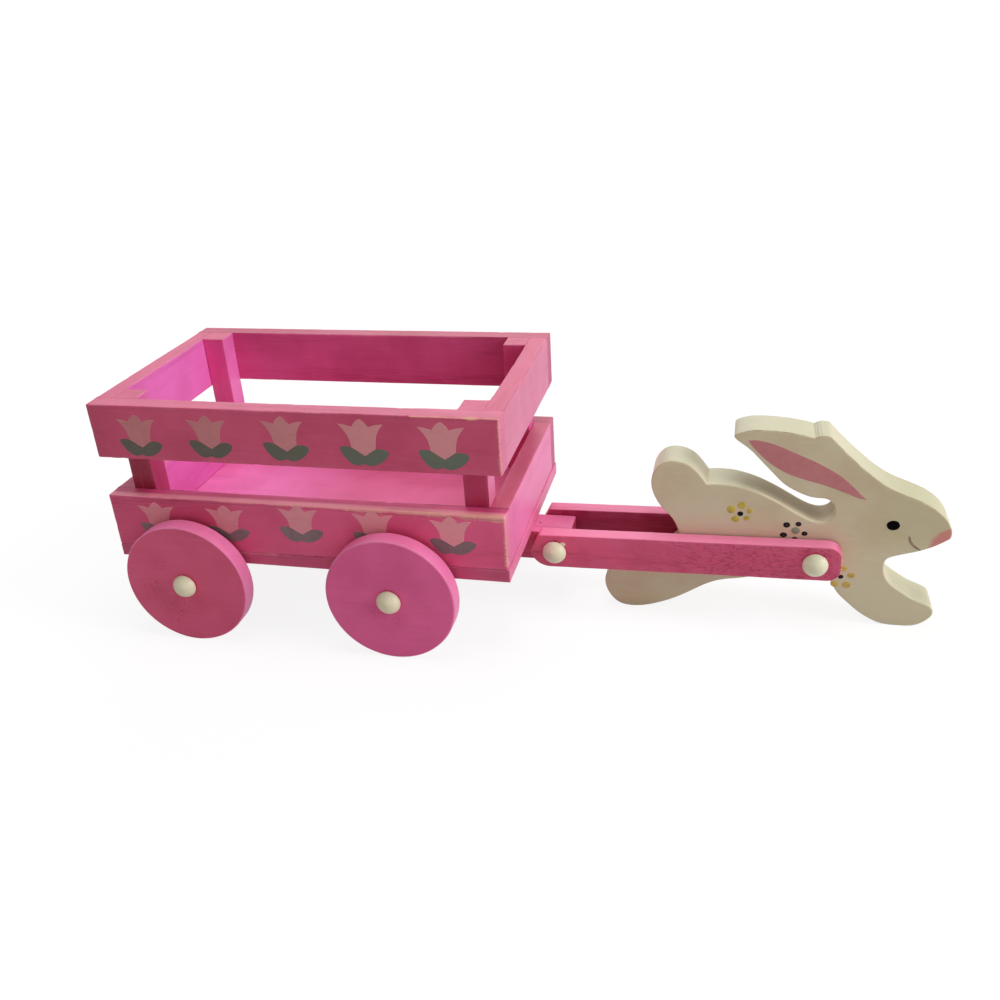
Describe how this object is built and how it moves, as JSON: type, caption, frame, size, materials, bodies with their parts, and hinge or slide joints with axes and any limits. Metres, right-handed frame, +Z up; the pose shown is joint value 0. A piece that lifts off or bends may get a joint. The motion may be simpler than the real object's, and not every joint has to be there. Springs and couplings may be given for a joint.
{
  "type": "wooden toy cart",
  "caption": "Painted wooden toy cart with an open two-rail crate on wheels, drawn through hinged shafts by a flat leaping rabbit.",
  "frame": {"origin": "on the surface the wheels and the rabbit stand on, below the middle of the whole part", "axes": "+X forward along the shafts to the rabbit, +Y to the far side of the cart, +Z up"},
  "size_m": [0.396, 0.1518, 0.1215],
  "materials": {
    "pink_paint": "thin satin pink paint over sawn softwood, worn at the edges",
    "cream_paint": "satin cream paint over wood",
    "brad_steel": "plain steel brad"
  },
  "bodies": {
    "cart": {"axle_bearer_front": "pink_paint", "axle_bearer_rear": "pink_paint", "bearer_brads": "brad_steel", "floor_brads": "brad_steel", "floor_panel": "pink_paint", "frame_brads": "brad_steel", "hitch_peg_far": "cream_paint", "hitch_peg_near": "cream_paint", "lower_end_front": "pink_paint", "lower_end_rear": "pink_paint", "lower_side_far": "pink_paint", "lower_side_near": "pink_paint", "post_front_far": "pink_paint", "post_front_near": "pink_paint", "post_rear_far": "pink_paint", "post_rear_near": "pink_paint", "tongue_block": "pink_paint", "tongue_brad": "brad_steel", "upper_end_front": "pink_paint", "upper_end_rear": "pink_paint", "upper_side_far": "pink_paint", "upper_side_near": "pink_paint", "wheel_peg_front_far": "cream_paint", "wheel_peg_front_near": "cream_paint", "wheel_peg_rear_far": "cream_paint", "wheel_peg_rear_near": "cream_paint"},
    "wheel_rear_near": {"wheel_rear_near": "pink_paint"},
    "wheel_rear_far": {"wheel_rear_far": "pink_paint"},
    "wheel_front_near": {"wheel_front_near": "pink_paint"},
    "wheel_front_far": {"wheel_front_far": "pink_paint"},
    "drawbar": {"shaft_near": "pink_paint", "shaft_far": "pink_paint"},
    "rabbit": {"rabbit": "cream_paint", "rabbit_peg_near": "cream_paint", "rabbit_peg_far": "cream_paint"}
  },
  "joints": [
    {"name": "wheel_rear_near_spin", "type": "hinge", "parent": "cart", "child": "wheel_rear_near", "pos_m": [-0.15899, -0.066, 0.032], "axis": [0, 1, 0], "continuous": true},
    {"name": "wheel_rear_far_spin", "type": "hinge", "parent": "cart", "child": "wheel_rear_far", "pos_m": [-0.15899, 0.066, 0.032], "axis": [0, 1, 0], "continuous": true},
    {"name": "wheel_front_near_spin", "type": "hinge", "parent": "cart", "child": "wheel_front_near", "pos_m": [-0.05349, -0.066, 0.032], "axis": [0, 1, 0], "continuous": true},
    {"name": "wheel_front_far_spin", "type": "hinge", "parent": "cart", "child": "wheel_front_far", "pos_m": [-0.05349, 0.066, 0.032], "axis": [0, 1, 0], "continuous": true},
    {"name": "drawbar_lift", "type": "hinge", "parent": "cart", "child": "drawbar", "pos_m": [0.01551, 0, 0.034], "axis": [0, -1, 0], "range_deg": [-88, 38]},
    {"name": "rabbit_rock", "type": "hinge", "parent": "drawbar", "child": "rabbit", "pos_m": [0.13909, 0, 0.0362], "axis": [0, -1, 0], "continuous": true}
  ]
}
